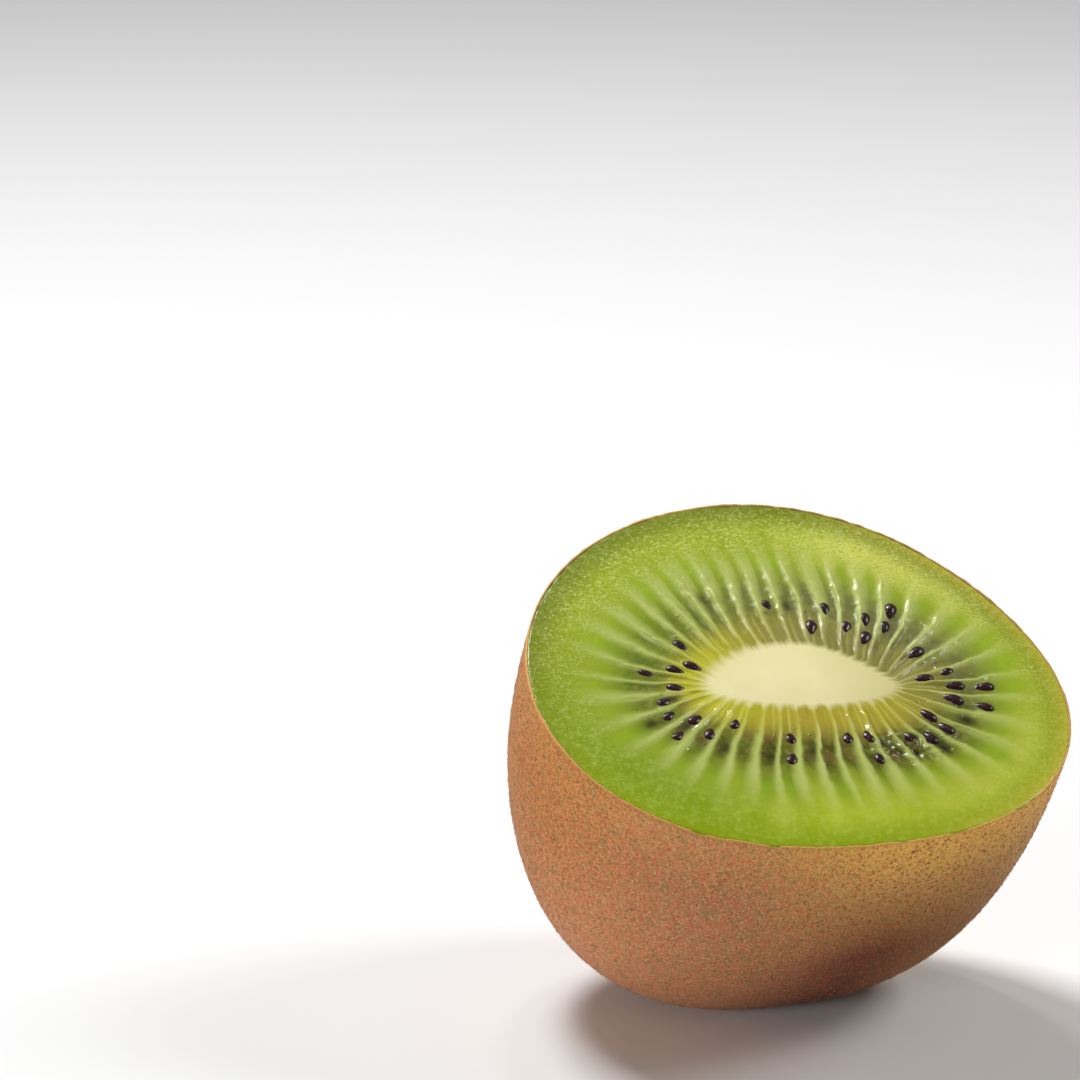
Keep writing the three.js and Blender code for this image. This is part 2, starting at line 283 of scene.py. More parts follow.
# The bright specks fade out in the painted shade at the front right.
painted_shade_right = add(tree, "Math", {0: deep_down_with_painted_shade, 1: front_right}, operation="MULTIPLY")
outside_painted_shade = add(tree, "MapRange", {"Value": painted_shade_right, "To Min": 1.0, "To Max": 0.3})
bright = add(tree, "Math", {0: bright, 1: outside_painted_shade}, operation="MULTIPLY")
tan = add(tree, "Mix", {0: bright, 6: tan, 7: paint("#D2A274")}, out=2, data_type="RGBA")
lip = add(tree, "MapRange",
          {"Value": below, "From Min": 0.05, "From Max": 0.24, "To Min": 0.8, "To Max": 0.0})
rim = add(tree, "Mix", {0: right, 6: paint("#E0B670"), 7: paint("#AC8A4A")}, out=2, data_type="RGBA")
rim = add(tree, "Mix", {0: in_front, 6: rim, 7: paint("#C8964C")}, out=2, data_type="RGBA")
tan = add(tree, "Mix", {0: lip, 6: tan, 7: rim}, out=2, data_type="RGBA")
tree.links.new(tan, surface.inputs["Base Color"])
grit = add(tree, "Bump", {"Height": specks, "Strength": 0.8, "Distance": 0.0002})
tree.links.new(grit, surface.inputs["Normal"])
surface.inputs["Roughness"].default_value = 0.75
surface.inputs["Specular IOR Level"].default_value = 0.2
surface.inputs["Sheen Weight"].default_value = 0.03
skin.data.materials.append(kiwi_peel)
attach(skin, "root")


# Hairs
# Short stiff golden brown hairs stand all over a kiwi's peel. Handling has broken most of them off, and the
# rest lie almost flat, pointing this way and that.
HAIRS = 17000
HAIR_LENGTH = (0.2, 0.55)
HAIR_RADIUS = (0.018, 0.034)
HAIR_SIDES = 3
HAIR_ROOT_DEPTH = 0.02
HAIR_HEADING_SPREAD = 1.1
HAIR_RISE = (0.1, 0.45)
HAIR_CURL = (0.2, 0.6)
FIRST_HAIR_TURN = 0.004
LAST_HAIR_TURN = 0.9
HAIR_DRAW = 5
LOWEST_HAIR = 0.00002

bm = bmesh.new()
cone = bmesh.ops.create_cone(bm, cap_ends=True, segments=HAIR_SIDES, radius1=1, radius2=0, depth=1)["verts"]
bmesh.ops.translate(bm, verts=cone, vec=(0, 0, 0.5))
bmesh.ops.rotate(bm, verts=cone, cent=(0, 0, 0), matrix=Matrix.Rotation(math.pi / 2, 3, "Y"))
bmesh.ops.remove_doubles(bm, verts=bm.verts, dist=1e-4)
slanted = [edge for edge in bm.edges if abs(edge.verts[0].co.x - edge.verts[1].co.x) > 0.5]
bmesh.ops.subdivide_edges(bm, edges=slanted, cuts=1)
bmesh.ops.recalc_face_normals(bm, faces=bm.faces)
one_hair = np.array([vertex.co for vertex in bm.verts])
hair_faces = [[vertex.index for vertex in face.verts] for face in bm.faces]
bm.free()

drawn = np.random.default_rng(HAIR_DRAW)
angle = drawn.uniform(0, 2 * math.pi, HAIRS)
turn_choices = np.linspace(FIRST_HAIR_TURN, LAST_HAIR_TURN, 400)
ring_sizes = np.maximum(np.cos(turn_choices * math.pi / 2), 0.02) ** (2 / BLUNTNESS)
steps = np.linalg.norm(np.diff(dome_point(0.0 * turn_choices, turn_choices, 0), axis=0), axis=1)
chances = ring_sizes[1:] * steps
turn = drawn.choice(turn_choices[1:], HAIRS, p=chances / chances.sum())
root = dome_point(angle, turn, HAIR_ROOT_DEPTH)
round_way = dome_point(angle + 0.001, turn, HAIR_ROOT_DEPTH) - root
down_way = dome_point(angle, turn + 0.001, HAIR_ROOT_DEPTH) - root
round_way /= np.linalg.norm(round_way, axis=1)[:, None]
down_way /= np.linalg.norm(down_way, axis=1)[:, None]
out_way = np.cross(down_way, round_way)
heading = drawn.normal(0.0, HAIR_HEADING_SPREAD, HAIRS)[:, None]
forward = np.cos(heading) * down_way + np.sin(heading) * round_way
sideways = np.cross(out_way, forward)
long = drawn.uniform(*HAIR_LENGTH, HAIRS)[:, None, None]
thick = drawn.uniform(*HAIR_RADIUS, HAIRS)[:, None, None]
rise = drawn.uniform(*HAIR_RISE, HAIRS)[:, None, None]
curl = drawn.uniform(*HAIR_CURL, HAIRS)[:, None, None]
x, y, z = one_hair[None, :, 0:1], one_hair[None, :, 1:2], one_hair[None, :, 2:3]
height = long * (rise * x - curl * rise * x ** 2) + thick * z
points = root[:, None] + forward[:, None] * long * x
points = points + sideways[:, None] * thick * y
points = points + out_way[:, None] * height
tint = np.repeat(drawn.random(HAIRS), len(one_hair))
points = points.reshape(-1, 3) @ np.array(lay_down.to_3x3()).T + np.array(cut_centre)
points[:, 2] = np.maximum(points[:, 2], LOWEST_HAIR)
firsts = np.arange(HAIRS)[:, None] * len(one_hair)
faces = [list(first + np.array(face)) for face in hair_faces for first in firsts[:, 0]]
hairs_mesh = bpy.data.meshes.new("skin_hairs")
hairs_mesh.from_pydata(points.tolist(), [], faces)
hairs_mesh.attributes.new("tint", "FLOAT", "POINT").data.foreach_set("value", tint)
hairs_mesh.shade_smooth()
hairs = bpy.data.objects.new("skin_hairs", hairs_mesh)
bpy.context.collection.objects.link(hairs)

# Kiwi hair: a hollow dry bristle, golden where the light catches it and rust brown elsewhere.
kiwi_hair, tree, surface = new_finish("kiwi_hair")
tint = add(tree, "Attribute", {}, out="Fac", attribute_name="tint")
bristle = add(tree, "Mix", {0: tint, 6: paint("#8C5028"), 7: paint("#C69560")}, out=2, data_type="RGBA")
tree.links.new(bristle, surface.inputs["Base Color"])
surface.inputs["Roughness"].default_value = 0.5
hairs_mesh.materials.append(kiwi_hair)
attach(hairs, "root")


# Flesh
# Soft wet tissue in three parts that grow into one another: the outer flesh, the inner flesh of some forty
# rays of clear pulp between thin pale walls, and the dense cream core. The knife leaves the walls a little
# proud of the pulp, and juice films everything. Walls are at the whole chamber numbers.
CORE_CENTRE = np.array([1.0, -2.1])
CORE_HALF_LENGTH = 9.7
CORE_BACK = 5.8
CORE_BACK_POWER = 1.5
CORE_FRONT = 2.9
CORE_FRONT_POWER = 0.9
CHAMBERS = 40
CHAMBER_LENGTH = 11.7
RAY_CROWDING = 0.05
RAY_FAN = 0.15
CORE_CROWN = 0.2
HOLLOW = 0.35

FLESH_SIDES = 20 * CHAMBERS
CORE_ROWS = 12
CHAMBER_ROWS = 60
OUTER_ROWS = 26
FLESH_DOME_ROWS = 12
LOWEST_FLESH = 0.0003
RAY_WANDER = 0.5
WALL_NARROWEST = 0.13
WALL_WIDENING = 0.6
WALL_RIDGE = 0.2
STEEP_SIDE = 0.13
GENTLE_SIDE = 0.32
KNIFE_WAVE = 0.08
KNIFE_WAVE_SIZE = 8.0
EDGE_DIP = 0.05
EDGE_DIP_WIDTH = 0.35
THREAD_WIDTH = 0.13
HELD_UP_REACH = 1.1
SUNKEN_NEAREST = 4.5
SUNKEN_SPREAD = 4.3
SUNKEN_LENGTH = 1.0
SUNKEN_WIDTH = 0.58
SUNKEN_DRAW = 14032
FRONT = math.radians(-100)
CORE_DENT = math.radians(52)
TORN_WAY = math.radians(-48)
TORN_SPREAD = 0.27
TORN_SCRAPS = 0.3
TORN_SCRAP_SIZE = 0.7
GOLDEN_SIDE = math.radians(-135)
SEED_NEAREST = 2.2
SEED_FURTHEST = 6.4
SEED_STEP = 2.2
EMPTY_CHAMBERS = 0.12
SECOND_SEEDS = 0.35
BARE_SIDE = math.radians(118)
BARE_SIDE_EMPTY = 0.7
BARE_SIDE_POWER = 3
STRAY_SIDEWAYS = 0.1
STRAY_HEADING = 0.25
STRAY_SIZE = 0.12
SEED_DRAW = 301344
MULTIPLIER = 16807
MODULUS = 2 ** 31 - 1


def core_edge(angle):
    across = np.sin(angle)
    back = CORE_BACK * np.maximum(across, 0) ** CORE_BACK_POWER
    front = CORE_FRONT * np.maximum(-across, 0) ** CORE_FRONT_POWER
    return CORE_CENTRE + np.stack([CORE_HALF_LENGTH * np.cos(angle), back - front], axis=-1)


def ray(chamber):
    """Where the ray with this number leaves the core, and where it meets the outline."""
    even = 2 * math.pi * chamber / CHAMBERS
    start = even - RAY_CROWDING * np.sin(2 * even)
    angle = start + RAY_FAN * np.sin(2 * start)
    way = np.stack([np.cos(angle), np.sin(angle)], axis=-1)
    return core_edge(start), way * outline_radius(angle)[..., None]


def on_ray(chamber, distance):
    foot, end = ray(chamber)
    length = np.linalg.norm(end - foot, axis=-1)
    return foot + (end - foot) * (distance / length)[..., None]


def seed_places():
    """The chamber number, distance from the core, extra turn and size of each seed at the cut."""
    drawn = SEED_DRAW

    def draw():
        nonlocal drawn
        drawn = drawn * MULTIPLIER % MODULUS
        return drawn / MODULUS

    def stray(most):
        return most * (2 * draw() - 1)

    for number in range(CHAMBERS):
        angle = 2 * math.pi * (number + 0.5) / CHAMBERS
        towards_bare = max(0, math.cos(angle - BARE_SIDE)) ** BARE_SIDE_POWER
        empty = draw() < EMPTY_CHAMBERS + BARE_SIDE_EMPTY * towards_bare
        second = draw() < SECOND_SEEDS
        first = SEED_NEAREST + (SEED_FURTHEST - SEED_NEAREST) * draw()
        for distance in [first, first + SEED_STEP + draw()] if second else [first]:
            chamber = number + 0.5 + stray(STRAY_SIDEWAYS)
            place = chamber, distance, stray(STRAY_HEADING), 1 + stray(STRAY_SIZE)
            if not empty:
                yield place


def each(seed, low, high):
    """One value for every chamber, drawn with this seed between the two."""
    return np.random.default_rng(seed).uniform(low, high, CHAMBERS)


mesh, round_share, row = flat_grid(FLESH_SIDES, CORE_ROWS + CHAMBER_ROWS + OUTER_ROWS + FLESH_DOME_ROWS)
chamber = round_share * CHAMBERS
in_core = row < CORE_ROWS
on_cut = row < CORE_ROWS + CHAMBER_ROWS + OUTER_ROWS
core_share = np.minimum(row / CORE_ROWS, 1)
along = np.maximum(row - CORE_ROWS, 0) / CHAMBER_ROWS
outer_share = np.clip((row - CORE_ROWS - CHAMBER_ROWS) / (OUTER_ROWS - 1), 0, 1)
turn = np.clip((row - CORE_ROWS - CHAMBER_ROWS - OUTER_ROWS + 1) / FLESH_DOME_ROWS, 0, 1)

# Rays bend a little as they grow outwards.
even = 2 * math.pi * round_share
circle = np.stack([np.cos(even), np.sin(even)], axis=-1) * CHAMBERS / (2 * math.pi)
wander = noise_at(np.column_stack([circle * 0.16, along * 0.9]), 1.0, 7.0)
wander += 0.3 * noise_at(np.column_stack([circle * 0.6, along * 1.8]), 1.0, 9.0)
bent = chamber + RAY_WANDER * wander * smooth(0, 0.6, along) * (1 - smooth(0, 1, outer_share))
foot, end = ray(bent)
length = np.linalg.norm(end - foot, axis=-1)
inset = 0.7 * SKIN_THICKNESS
distance = np.where(
    outer_share > 0,
    CHAMBER_LENGTH + outer_share * (length - CHAMBER_LENGTH - inset),
    np.minimum(along, 1) * CHAMBER_LENGTH,
)
on_face = foot + (end - foot) * (distance / length)[:, None]
on_face[in_core] = (CORE_CENTRE + (foot - CORE_CENTRE) * core_share[:, None])[in_core]
flat = np.column_stack([on_face, np.zeros(len(on_face))])
centre_way = np.arctan2(on_face[:, 1], on_face[:, 0])
to_front = 0.5 + 0.5 * np.cos(centre_way - FRONT)

# Walls start as fine lines in the core's fringe and widen to soft bands, each of its own thickness.
reach = np.clip(distance / CHAMBER_LENGTH, 0, 1.6)
spacing = np.linalg.norm(on_ray(bent + 0.5, distance) - on_ray(bent - 0.5, distance), axis=-1)
wall_number = np.round(chamber).astype(int) % CHAMBERS
aside = chamber - np.round(chamber)
fray = smooth(0.15, 0.5, reach) * (0.03 * noise_at(flat, 0.5, 21.0) + 0.06 * noise_at(flat, 1.3, 23.0))
aside = aside + fray
off_wall = np.abs(aside) * spacing
thickness = WALL_NARROWEST + WALL_WIDENING * np.minimum(reach, 0.9) ** 1.5
thickness = thickness * each(3, 0.65, 1.35)[wall_number] * (1.3 - 0.38 * to_front)
crisp_side = smooth(-0.02, 0.02, aside)
wall = np.exp(-(off_wall / (thickness * (1.25 - 0.65 * crisp_side))) ** 2)
to_back = smooth(-0.5, 0.8, np.sin(centre_way - 0.1))
wall *= 0.45 + 0.55 * np.maximum(to_front ** 2, to_back)
fine_line = 0.8 * np.exp(-(off_wall / (0.26 - 0.12 * crisp_side)) ** 2) * (1 - smooth(0.7, 1.2, reach))
wall = np.maximum(wall, fine_line)
wall[in_core] = 0
tipped = np.maximum(-np.cos(even), 0) ** 3
fringe = 0.7 + 1.2 * tipped + (0.4 + 0.6 * to_front) * np.maximum(0, 1 - np.abs(aside) / 0.35)
fringe -= 1.2 * np.maximum(np.cos(even - CORE_DENT), 0) ** 4
fringe = np.maximum(fringe + 0.3 * noise_at(flat, 0.9, 19.0), -0.35)
core = 1 - smooth(-0.9, fringe + 0.5 * to_back, np.where(in_core, (core_share - 1) * 6, distance))

# Clear pulp fills each chamber to a soft rounded tip, darkest towards the front.
number = np.floor(chamber).astype(int) % CHAMBERS
tip = reach / each(5, 0.86, 1.2)[number] / (1.07 + 0.07 * np.sin(even))
from_middle = np.abs(chamber - np.floor(chamber) - 0.5) * 2
pulp = (1 - smooth(0.75, 1.15, tip + 0.25 * from_middle ** 2)) * (1 - wall)
pulp *= smooth(0.05, 0.4, reach) * each(6, 0.8, 1.0)[number] * (0.8 + 0.2 * to_front)
pulp *= np.clip(1.0 + 0.35 * noise_at(flat, 0.7, 15.0) + 0.25 * noise_at(flat, 2.0, 17.0), 0, 1)
pulp[in_core] = 0
golden = 1 - smooth(0.12, 0.48, reach)

# A pale thread runs down the middle of each chamber to its seeds. Along a wall's steep side runs a painted
# highlight, a bright line where the light would catch the edge, broken where the knife missed it.
off_thread = (np.abs(chamber - np.floor(chamber) - each(12, 0.38, 0.62)[number])) * spacing
thread = np.exp(-(off_thread / THREAD_WIDTH) ** 2) * (1 - smooth(0.25, 0.5, reach))
thread *= each(13, 0.0, 0.7)[number]
off_crest = aside * spacing - 0.55 * thickness
painted_crest_highlight = np.exp(-(off_crest / np.maximum(0.08, 0.05 * spacing)) ** 2) * smooth(0.1, 0.3, reach)
painted_crest_highlight *= (1 - smooth(0.45, 0.95, reach)) * each(14, 0.0, 0.85)[wall_number] * (1 - 0.4 * to_front ** 2)
painted_crest_highlight *= smooth(-0.2, 0.3, noise_at(np.column_stack([circle * 2, distance * 0.5]), 1.0, 13.0))
painted_crest_highlight[in_core] = 0
thread[in_core] = 0
warm = smooth(-1, 0.2, np.cos(even - GOLDEN_SIDE))

# Seeds deeper in the pulp show through it as soft dark shadows, most of them in the front chambers.
shadow = np.zeros(len(mesh.vertices))
sunken = np.random.default_rng(SUNKEN_DRAW).random((CHAMBERS, 3))
for its_number, (chance, depth, faintness) in enumerate(sunken):
    its_chamber = np.array(its_number + 0.5)
    its_distance = np.array(SUNKEN_NEAREST + SUNKEN_SPREAD * depth)
    spot, further = on_ray(its_chamber, its_distance), on_ray(its_chamber, its_distance + 1)
    front_share = 0.5 + 0.5 * math.cos(math.atan2(spot[1], spot[0]) - FRONT)
    if chance < 0.1 + 0.7 * front_share ** 2:
        along_ray = further - spot
        lengthwise = (on_face - spot) @ along_ray
        crosswise = (on_face - spot) @ np.array([-along_ray[1], along_ray[0]])
        dim = np.exp(-(lengthwise / SUNKEN_LENGTH) ** 2 - (crosswise / SUNKEN_WIDTH) ** 2)
        shadow += (0.65 + 0.35 * faintness) * dim
torn_open = np.exp(-((centre_way - TORN_WAY) / TORN_SPREAD) ** 2)
torn_pulp = torn_open * smooth(0.3, 0.5, reach) * (1 - smooth(0.65, 0.85, reach))
shadow += 1.6 * torn_pulp * np.abs(noise_at(flat, 0.8, 27.0))
shadow = np.clip(shadow, 0, 1) * (1 - 0.8 * wall)

# The pulp sinks between the walls, except where a seed at the cut holds it up. The knife dragged the walls
# up, steeper on one side, except in front, where the cut is clean and almost flat but for one torn patch.
held = np.zeros(len(mesh.vertices))
for its_chamber, its_distance, *_ in seed_places():
    away = np.linalg.norm(on_face - on_ray(np.array(its_chamber), np.array(its_distance)), axis=1)
    held = np.maximum(held, np.exp(-(away / HELD_UP_REACH) ** 4))
torn = np.maximum(1 - 0.95 * to_front ** 2, torn_open)
hollow = np.sin(math.pi * np.clip(reach, 0, 1)) ** 0.8 * (1 - wall) * (1 - 0.75 * held)
lift = -HOLLOW * hollow * each(8, 0.4, 0.9)[number] * torn
dragged = np.where(aside > 0, STEEP_SIDE, GENTLE_SIDE)
ridge = np.exp(-(off_wall / dragged) ** 2) * smooth(0.02, 0.15, reach) * (1 - smooth(0.7, 1.2, reach))
lift += WALL_RIDGE * torn * ridge * each(9, 0.1, 0.95)[wall_number] * (1 + 1.2 * noise_at(flat, 1.4, 11.0))
lift[in_core] = CORE_CROWN * (1 - core_share[in_core] ** 2)
lift += KNIFE_WAVE * noise_at(flat, KNIFE_WAVE_SIZE)
rough = 0.008 + 0.08 * torn * smooth(0.1, 0.4, reach) * (1 - smooth(0.7, 1.0, reach))
lift += rough * noise_at(flat, 0.8, 3.0)
lift += TORN_SCRAPS * torn_pulp * noise_at(flat, TORN_SCRAP_SIZE, 29.0)
edge_distance = length - distance
lift -= EDGE_DIP * np.exp(-edge_distance / EDGE_DIP_WIDTH)
end_way = np.arctan2(end[:, 1], end[:, 0])
points = np.where(on_cut[:, None], np.column_stack([on_face, lift]), dome_point(end_way, turn, inset))
edge_distance[~on_cut] = 0
marks = {
    "core": core,
    "wall": np.maximum(wall * (1 - 0.5 * to_front ** 2 * (1 - smooth(0.1, 0.5, reach))), thread),
    "pulp": np.where(on_cut, pulp, 0),
    "golden": np.where(on_cut, golden, 0),
    "warm": warm,
    "shadow": shadow,
    "reach": np.where(on_cut, reach, 1.6),
    "edge": edge_distance,
    "painted_crest_highlight": painted_crest_highlight,
    "face": np.column_stack([np.cos(centre_way), np.sin(centre_way), np.where(on_cut, 1.0, 0.0)]),
    "streaks": np.column_stack([circle, distance]),
    "spot": flat,
}
flesh = rolled_up("flesh", mesh, points, marks, LOWEST_FLESH)

# Fresh kiwi flesh: watery and part clear, so light goes in and spreads a little before it comes out, under
# a film of juice that glints. Pale flecks of a few tenths of a millimetre, some drawn out by the knife into
# strokes, are partly paler cells and partly painted glints, and they are strongest towards the back.
kiwi_flesh, tree, surface = new_finish("kiwi_flesh")
place = add(tree, "TexCoord", {}, out="Object")
single = [name for name, values in marks.items() if values.ndim == 1]
mark = {name: add(tree, "Attribute", {}, out="Fac", attribute_name=name) for name in single}
face = add(tree, "Attribute", {}, out="Vector", attribute_name="face")
rightwards = add(tree, "SeparateXYZ", {0: face})
backwards = add(tree, "SeparateXYZ", {0: face}, out=1)
by_ray = add(tree, "Attribute", {}, out="Vector", attribute_name="streaks")
fine_rays = add(tree, "Mapping", {"Vector": by_ray, "Scale": (5.0, 5.0, 0.5)})
fibres = add(tree, "TexNoise", {"Vector": fine_rays, "Scale": 1.0, "Detail": 3.0})
broad_rays = add(tree, "Mapping", {"Vector": by_ray, "Scale": (1.1, 1.1, 0.12)})
bands = add(tree, "TexNoise", {"Vector": broad_rays, "Scale": 1.0, "Detail": 2.0})
clouds = add(tree, "TexNoise", {"Vector": place, "Scale": 1 / 0.005, "Detail": 3.0})
pale = add(tree, "Math", {0: clouds, 1: bands}, operation="ADD")
pale = add(tree, "MapRange", {"Value": pale, "From Min": 0.75, "From Max": 1.3})
flesh_colour = add(tree, "Mix", {0: pale, 6: paint("#95A612"), 7: paint("#AEB83C")}, out=2, data_type="RGBA")
low_left = add(tree, "Math", {0: backwards, 1: 0.7, 2: rightwards}, operation="MULTIPLY_ADD")
low_left = add(tree, "MapRange", {"Value": low_left, "From Min": -0.75, "From Max": -1.25, "To Max": 0.7})
flesh_colour = add(tree, "Mix", {0: low_left, 6: flesh_colour, 7: paint("#5E7C02")}, out=2, data_type="RGBA")
up_right = add(tree, "MapRange", {"Value": backwards, "From Min": 0.0, "From Max": 1.0})
up_right = add(tree, "Math", {0: rightwards, 1: up_right}, operation="MULTIPLY")
up_right = add(tree, "MapRange", {"Value": up_right, "From Min": 0.12, "From Max": 0.45, "To Max": 0.85})
flesh_colour = add(tree, "Mix", {0: up_right, 6: flesh_colour, 7: paint("#CCCE60")}, out=2, data_type="RGBA")
olive = add(tree, "MapRange", {"Value": rightwards, "From Min": 0.0, "From Max": 0.7, "To Max": 0.35})
flesh_colour = add(tree, "Mix", {0: olive, 6: flesh_colour, 7: paint("#AEAA40")}, out=2, data_type="RGBA")
up_left = add(tree, "Math", {0: backwards, 1: rightwards}, operation="SUBTRACT")
up_left = add(tree, "MapRange", {"Value": up_left, "From Min": 0.4, "From Max": 1.0, "To Max": 0.35})
flesh_colour = add(tree, "Mix", {0: up_left, 6: flesh_colour, 7: paint("#7E8E20")}, out=2, data_type="RGBA")

# Towards its edge the flesh is a deeper green, darkest at the back left, and at the right a ripe olive.
deep = add(tree, "MapRange",
           {"Value": mark["edge"], "From Min": 0.3, "From Max": 4.5, "To Min": 0.95, "To Max": 0.0},
           interpolation_type="SMOOTHSTEP")
deep_green = add(tree, "MapRange", {"Value": backwards, "From Min": -0.6, "From Max": 0.3})
back_green = paint("#687210")
deep_green = add(tree, "Mix", {0: deep_green, 6: paint("#7F9302"), 7: back_green}, out=2, data_type="RGBA")
flesh_colour = add(tree, "Mix", {0: deep, 6: flesh_colour, 7: deep_green}, out=2, data_type="RGBA")
ripe = add(tree, "MapRange",
           {"Value": mark["edge"], "From Min": 0.1, "From Max": 2.2, "To Min": 0.85, "To Max": 0.0})
at_right = add(tree, "MapRange", {"Value": rightwards, "From Min": 0.2, "From Max": 0.8})
ripe = add(tree, "Math", {0: ripe, 1: at_right}, operation="MULTIPLY")
flesh_colour = add(tree, "Mix", {0: ripe, 6: flesh_colour, 7: paint("#B6AA38")}, out=2, data_type="RGBA")
cells = add(tree, "TexNoise", {"Vector": place, "Scale": 1 / 0.0003, "Detail": 2.0, "Roughness": 0.65})
flecks = add(tree, "MapRange", {"Value": cells, "From Min": 0.54, "From Max": 0.7, "To Max": 0.55})
spot = add(tree, "Attribute", {}, out="Vector", attribute_name="spot")
bending = add(tree, "TexNoise", {"Vector": spot, "Scale": 0.2, "Detail": 0.0}, out=1)
bending = add(tree, "VectorMath", {0: bending, 1: (2.5, 2.5, 0.0), 2: spot}, operation="MULTIPLY_ADD")
drawn_out = add(tree, "Mapping",
                {"Vector": bending, "Rotation": (0.0, 0.0, 0.25), "Scale": (1 / 0.95, 1 / 0.2, 1.0)})
strokes = {"Vector": drawn_out, "Scale": 1.0}
its_length = add(tree, "SeparateXYZ", {0: add(tree, "TexVoronoi", strokes, out=1, voronoi_dimensions="2D")})
strokes = add(tree, "TexVoronoi", strokes, voronoi_dimensions="2D")
strokes = add(tree, "Math", {0: its_length, 1: -0.45, 2: strokes}, operation="MULTIPLY_ADD")
stroke_marks = add(tree, "MapRange", {"Value": strokes, "From Min": -0.12, "From Max": -0.25, "To Max": 0.55})
pale_flecks_and_glints = add(tree, "Math", {0: flecks, 1: stroke_marks}, operation="MAXIMUM")
grain = add(tree, "TexNoise", {"Vector": place, "Scale": 1 / 0.0008, "Detail": 3.0, "Roughness": 0.6})
grain = add(tree, "MapRange", {"Value": grain, "From Min": 0.48, "From Max": 0.66, "To Max": 0.2})
flesh_colour = add(tree, "Mix", {0: grain, 6: flesh_colour, 7: paint("#B9C462")}, out=2, data_type="RGBA")
by_side = add(tree, "MapRange", {"Value": backwards, "From Min": -0.9, "From Max": 0.4, "To Min": 0.15})
pale_flecks_and_glints = add(tree, "Math", {0: pale_flecks_and_glints, 1: by_side}, operation="MULTIPLY")
off_edge = add(tree, "MapRange", {"Value": mark["edge"], "From Min": 0.1, "From Max": 2.5, "To Min": 0.35})
pale_flecks_and_glints = add(tree, "Math", {0: pale_flecks_and_glints, 1: off_edge}, operation="MULTIPLY")
pores = add(tree, "MapRange", {"Value": cells, "From Min": 0.46, "From Max": 0.32, "To Max": 0.6})
pores = add(tree, "Math", {0: pores, 1: by_side}, operation="MULTIPLY")
flesh_colour = add(tree, "Mix", {0: pores, 6: flesh_colour, 7: paint("#688612")}, out=2, data_type="RGBA")
# Painted glints: the pale flecks and strokes are partly glints painted in, most of them at the back.
fleck_and_glint_green = paint("#CFDA88")
flesh_colour = add(tree, "Mix", {0: pale_flecks_and_glints, 6: flesh_colour, 7: fleck_and_glint_green}, out=2, data_type="RGBA")

# Between the walls: golden by the core, dark grey green where the seeds lie, clear green at the tips.
by_seeds = add(tree, "MapRange", {"Value": mark["reach"], "From Min": 0.2, "From Max": 0.5})
at_tips = add(tree, "MapRange", {"Value": mark["reach"], "From Min": 0.65, "From Max": 1.0})
not_front = add(tree, "MapRange", {"Value": backwards, "From Min": -0.9, "From Max": 0.1})
green_pulp = paint("#506214")
clear_pulp = add(tree, "Mix", {0: mark["warm"], 6: paint("#5A4E40"), 7: green_pulp}, out=2, data_type="RGBA")
clear_pulp = add(tree, "Mix", {0: not_front, 6: paint("#3C3410"), 7: clear_pulp}, out=2, data_type="RGBA")
pulp_colour = add(tree, "Mix", {0: by_seeds, 6: paint("#766C26"), 7: clear_pulp}, out=2, data_type="RGBA")
browned = add(tree, "TexNoise", {"Vector": place, "Scale": 1 / 0.002, "Detail": 1.0})
browned = add(tree, "MapRange", {"Value": browned, "From Min": 0.45, "From Max": 0.64, "To Max": 0.75})
mostly_front = add(tree, "MapRange", {"Value": not_front, "To Min": 1.0, "To Max": 0.3})
browned = add(tree, "Math", {0: browned, 1: mostly_front}, operation="MULTIPLY")
pulp_colour = add(tree, "Mix", {0: browned, 6: pulp_colour, 7: paint("#644A2A")}, out=2, data_type="RGBA")
tips = add(tree, "Mix", {0: not_front, 6: paint("#7A9812"), 7: paint("#8FAA1C")}, out=2, data_type="RGBA")
pulp_colour = add(tree, "Mix", {0: at_tips, 6: pulp_colour, 7: tips}, out=2, data_type="RGBA")
blotches = add(tree, "TexNoise", {"Vector": place, "Scale": 1 / 0.0009, "Detail": 3.0, "Roughness": 0.65})
blotches = add(tree, "MapRange", {"Value": blotches, "From Min": 0.5, "From Max": 0.68, "To Max": 0.45})
pulp_colour = add(tree, "Mix", {0: blotches, 6: pulp_colour, 7: paint("#7E8A34")}, out=2, data_type="RGBA")
warm_gold = add(tree, "Mix", {0: fibres, 6: paint("#8F821C"), 7: paint("#AFA03C")}, out=2, data_type="RGBA")
cool_gold = add(tree, "Mix", {0: fibres, 6: paint("#62602A"), 7: paint("#8E8C48")}, out=2, data_type="RGBA")
left_gold = add(tree, "Mix", {0: fibres, 6: paint("#969410"), 7: paint("#BCB62E")}, out=2, data_type="RGBA")
leftwards = add(tree, "MapRange", {"Value": rightwards, "From Min": -0.3, "From Max": -0.9})
warm_gold = add(tree, "Mix", {0: leftwards, 6: warm_gold, 7: left_gold}, out=2, data_type="RGBA")
gold = add(tree, "Mix", {0: mark["warm"], 6: cool_gold, 7: warm_gold}, out=2, data_type="RGBA")
inner = add(tree, "Mix", {0: by_seeds, 6: paint("#8A8432"), 7: paint("#8A9A26")}, out=2, data_type="RGBA")
inner = add(tree, "Mix", {0: mark["pulp"], 6: inner, 7: pulp_colour}, out=2, data_type="RGBA")
inner = add(tree, "Mix", {0: mark["golden"], 6: inner, 7: gold}, out=2, data_type="RGBA")
warm_wall = paint("#C8C654")
wall_colour = add(tree, "Mix", {0: mark["warm"], 6: paint("#ACA65E"), 7: warm_wall}, out=2, data_type="RGBA")
wall_colour = add(tree, "Mix", {0: by_seeds, 6: wall_colour, 7: paint("#B4BC70")}, out=2, data_type="RGBA")
